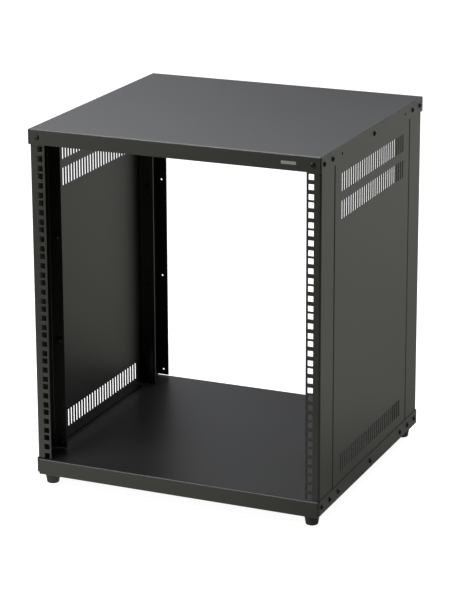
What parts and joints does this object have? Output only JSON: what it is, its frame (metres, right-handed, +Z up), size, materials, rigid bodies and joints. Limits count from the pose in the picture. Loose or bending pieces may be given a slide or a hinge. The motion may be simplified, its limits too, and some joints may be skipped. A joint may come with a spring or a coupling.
{
  "type": "equipment rack",
  "caption": "Open equipment rack of folded sheet steel: four channel posts with square mounting holes, vented side panels, top cover, base tray and round rubber feet.",
  "frame": {"origin": "on the floor below the middle of the rack, at the underside of the feet", "axes": "+Z up, the front with the square mounting holes faces -Y, +X to the right seen from the front"},
  "size_m": [0.5022, 0.4662, 0.6043],
  "materials": {
    "black_steel": "black powder coat, fine satin texture",
    "rubber": "matt moulded rubber",
    "black_screw": "black oxide, slightly glossy"
  },
  "bodies": {
    "root": {"top_cover": "black_steel", "base_tray": "black_steel", "left_base_sill": "black_steel", "right_base_sill": "black_steel", "left_side_panel": "black_steel", "right_side_panel": "black_steel", "front_left_post": "black_steel", "rear_left_post": "black_steel", "front_right_post": "black_steel", "rear_right_post": "black_steel", "front_left_foot": "rubber", "rear_left_foot": "rubber", "front_right_foot": "rubber", "rear_right_foot": "rubber"}
  },
  "joints": []
}
